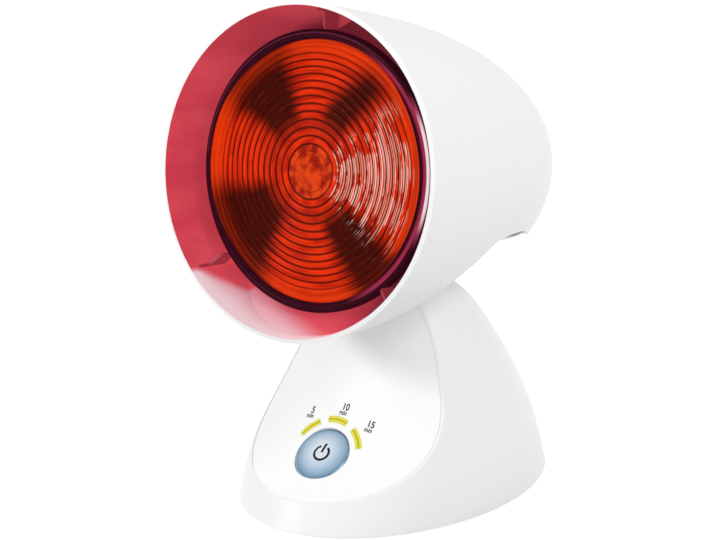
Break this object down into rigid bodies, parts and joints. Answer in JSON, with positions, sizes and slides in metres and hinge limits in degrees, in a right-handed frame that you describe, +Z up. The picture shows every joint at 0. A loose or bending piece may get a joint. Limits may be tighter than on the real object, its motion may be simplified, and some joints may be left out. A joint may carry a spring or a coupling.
{
  "type": "infrared heat therapy lamp",
  "caption": "White table-top infrared heat lamp: round tilting hood with a ribbed red bulb, on a fin-shaped base with one push button and three timer lights.",
  "frame": {"origin": "on the table under the middle of the whole lamp, seen from above", "axes": "+Z up; the mouth of the hood and the front panel face -Y; +X is to the right as seen from the front"},
  "size_m": [0.178, 0.2261, 0.2824],
  "materials": {
    "white_plastic": "satin white",
    "panel_plastic": "gloss white",
    "button_silver": "silver blue paint",
    "light_window": "translucent yellow",
    "red_glass": "ribbed red glass",
    "silvered_glass": "red glass silvered inside",
    "glass_clear": "clear",
    "aluminium": "rolled",
    "brass": "plain",
    "tungsten": "wire",
    "steel": "zinc plated",
    "ceramic": "glazed ceramic",
    "rubber_grey": "matt",
    "board_green": "solder mask",
    "black_plastic": "moulded",
    "blue_plastic": "moulded",
    "fibre": "pressed fibre",
    "lead_white": "silicone sleeve",
    "led_yellow": "clear tinted"
  },
  "bodies": {
    "base": {"base_shell": "white_plastic", "front_panel": "panel_plastic", "base_plate": "white_plastic", "rubber_feet": "rubber_grey", "base_plate_screws": "steel", "light_pipe_5": "light_window", "light_pipe_10": "light_window", "light_pipe_15": "light_window", "push_switch": "black_plastic", "panel_board": "board_green", "timer_leds": "led_yellow", "control_chip": "black_plastic", "panel_board_screws": "steel", "power_board": "board_green", "relay": "black_plastic", "film_capacitor": "blue_plastic", "smoothing_capacitor": "black_plastic", "fuse": "glass_clear", "terminal_block": "blue_plastic", "power_board_screws": "steel", "board_ribbon": "lead_white", "cord_inlet_bushing": "rubber_grey", "base_lead": "lead_white"},
    "hood": {"hood_shell": "white_plastic", "underside_cover": "white_plastic", "cover_screws": "steel", "hinge_pins": "steel", "friction_washers": "fibre", "disc_springs": "steel", "retaining_rings": "steel", "bulb_lens": "red_glass", "bulb_bowl": "silvered_glass", "bulb_cap": "aluminium", "bulb_insulator": "black_plastic", "bulb_contact": "brass", "bulb_filament": "tungsten", "filament_supports": "steel", "lampholder_body": "ceramic", "lampholder_shell": "brass", "lampholder_contact": "brass", "lampholder_bracket": "steel", "lampholder_screws": "steel", "bracket_screws": "steel", "hood_lead": "lead_white"},
    "button": {"power_button": "button_silver", "switch_stem": "black_plastic"}
  },
  "joints": [
    {"name": "hood_tilt", "type": "hinge", "parent": "base", "child": "hood", "pos_m": [0, -0.0143, 0.1337], "axis": [-1, 0, 0], "range_deg": [-10, 30]},
    {"name": "button_press", "type": "slide", "parent": "base", "child": "button", "axis": [0, 0.6494, -0.7604], "range_m": [0, 0.0012], "stiffness_N_per_m": 1500, "springref_m": -0.0005}
  ]
}
